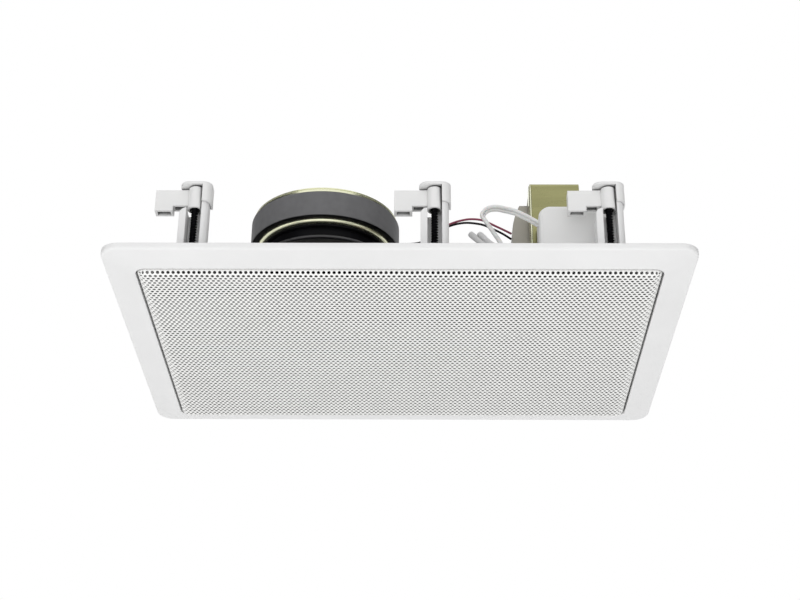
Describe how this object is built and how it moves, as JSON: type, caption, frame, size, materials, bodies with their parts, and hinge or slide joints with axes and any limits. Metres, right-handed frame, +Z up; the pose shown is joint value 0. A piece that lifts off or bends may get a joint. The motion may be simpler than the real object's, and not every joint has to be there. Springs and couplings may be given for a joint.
{
  "type": "ceiling speaker",
  "caption": "Rectangular flush ceiling speaker with a perforated grille, cone driver, line transformer, connection box and swing-out clamps.",
  "frame": {"origin": "centre of the flat grille face, which is the lowest face of the part", "axes": "+Z points up into the ceiling void, +X along the longer side, +Y away from the picture's camera"},
  "size_m": [0.4, 0.28, 0.1095],
  "materials": {
    "white_moulding": "satin moulded plastic",
    "white_sheet": "powder coat",
    "white_plastic": "satin moulded plastic",
    "grey_cloth": "fine woven cloth",
    "black_sheet": "black paint",
    "grey_board": "pressed board",
    "yellow_plated_steel": "yellow zinc plate",
    "ferrite": "ground ferrite",
    "black_paper": "pressed paper",
    "dark_rubber": "soft rubber",
    "copper_winding": "enamelled wire",
    "resined_cloth": "resined cloth",
    "brown_board": "phenolic board",
    "zinc_screw": "bright zinc",
    "lamination_steel": "varnished laminations",
    "grey_tape": "wound tape",
    "olive_plated_steel": "olive zinc plate",
    "ivory_plastic": "moulded nylon",
    "white_sheath": "soft sheath",
    "red_insulation": "soft insulation",
    "black_insulation": "soft insulation",
    "clear_nylon": "translucent nylon",
    "black_steel": "black zinc"
  },
  "bodies": {
    "frame": {"front_frame": "white_moulding", "grille": "white_sheet", "grille_cloth": "grey_cloth", "basket": "black_sheet", "basket_gasket": "grey_board", "front_plate": "yellow_plated_steel", "magnet": "ferrite", "yoke": "yellow_plated_steel", "surround": "dark_rubber", "spider": "resined_cloth", "terminal_strip": "brown_board", "driver_screws": "zinc_screw", "cap_near_left": "white_plastic", "cap_near_middle": "white_plastic", "cap_near_right": "white_plastic", "cap_far_left": "white_plastic", "cap_far_middle": "white_plastic", "cap_far_right": "white_plastic", "transformer_core": "lamination_steel", "transformer_coil": "grey_tape", "transformer_bracket": "olive_plated_steel", "transformer_screws": "zinc_screw", "box_cover": "white_plastic", "box_base": "white_plastic", "terminal_block": "ivory_plastic", "box_screws": "zinc_screw", "supply_cable": "white_sheath", "red_lead": "red_insulation", "black_lead": "black_insulation", "primary_leads": "white_sheath", "crimp_connectors": "clear_nylon"},
    "cone_assembly": {"cone": "black_paper", "dust_cap": "black_paper", "voice_coil": "copper_winding"},
    "clamp_near_left": {"dog_near_left": "white_plastic"},
    "clamp_screw_near_left": {"screw_near_left": "black_steel"},
    "clamp_near_middle": {"dog_near_middle": "white_plastic"},
    "clamp_screw_near_middle": {"screw_near_middle": "black_steel"},
    "clamp_near_right": {"dog_near_right": "white_plastic"},
    "clamp_screw_near_right": {"screw_near_right": "black_steel"},
    "clamp_far_left": {"dog_far_left": "white_plastic"},
    "clamp_screw_far_left": {"screw_far_left": "black_steel"},
    "clamp_far_middle": {"dog_far_middle": "white_plastic"},
    "clamp_screw_far_middle": {"screw_far_middle": "black_steel"},
    "clamp_far_right": {"dog_far_right": "white_plastic"},
    "clamp_screw_far_right": {"screw_far_right": "black_steel"}
  },
  "joints": [
    {"name": "swing_near_left", "type": "hinge", "parent": "frame", "child": "clamp_near_left", "pos_m": [-0.1411, -0.117, 0.058], "axis": [0, 0, 1], "range_deg": [0, 90]},
    {"name": "turn_near_left", "type": "hinge", "parent": "frame", "child": "clamp_screw_near_left", "pos_m": [-0.1411, -0.117, 0.04], "axis": [0, 0, 1], "continuous": true},
    {"name": "swing_near_middle", "type": "hinge", "parent": "frame", "child": "clamp_near_middle", "pos_m": [0.024, -0.117, 0.058], "axis": [0, 0, 1], "range_deg": [0, 90]},
    {"name": "turn_near_middle", "type": "hinge", "parent": "frame", "child": "clamp_screw_near_middle", "pos_m": [0.024, -0.117, 0.04], "axis": [0, 0, 1], "continuous": true},
    {"name": "swing_near_right", "type": "hinge", "parent": "frame", "child": "clamp_near_right", "pos_m": [0.1437, -0.117, 0.058], "axis": [0, 0, 1], "range_deg": [0, 90]},
    {"name": "turn_near_right", "type": "hinge", "parent": "frame", "child": "clamp_screw_near_right", "pos_m": [0.1437, -0.117, 0.04], "axis": [0, 0, 1], "continuous": true},
    {"name": "swing_far_left", "type": "hinge", "parent": "frame", "child": "clamp_far_left", "pos_m": [-0.1411, 0.117, 0.058], "axis": [0, 0, 1], "range_deg": [0, 90]},
    {"name": "turn_far_left", "type": "hinge", "parent": "frame", "child": "clamp_screw_far_left", "pos_m": [-0.1411, 0.117, 0.04], "axis": [0, 0, 1], "continuous": true},
    {"name": "swing_far_middle", "type": "hinge", "parent": "frame", "child": "clamp_far_middle", "pos_m": [0.024, 0.117, 0.058], "axis": [0, 0, 1], "range_deg": [0, 90]},
    {"name": "turn_far_middle", "type": "hinge", "parent": "frame", "child": "clamp_screw_far_middle", "pos_m": [0.024, 0.117, 0.04], "axis": [0, 0, 1], "continuous": true},
    {"name": "swing_far_right", "type": "hinge", "parent": "frame", "child": "clamp_far_right", "pos_m": [0.1437, 0.117, 0.058], "axis": [0, 0, 1], "range_deg": [0, 90]},
    {"name": "turn_far_right", "type": "hinge", "parent": "frame", "child": "clamp_screw_far_right", "pos_m": [0.1437, 0.117, 0.04], "axis": [0, 0, 1], "continuous": true},
    {"name": "cone_stroke", "type": "slide", "parent": "frame", "child": "cone_assembly", "axis": [0, 0, 1], "range_m": [-0.003, 0.003], "stiffness_N_per_m": 1500, "deforming": ["surround", "spider"]}
  ]
}
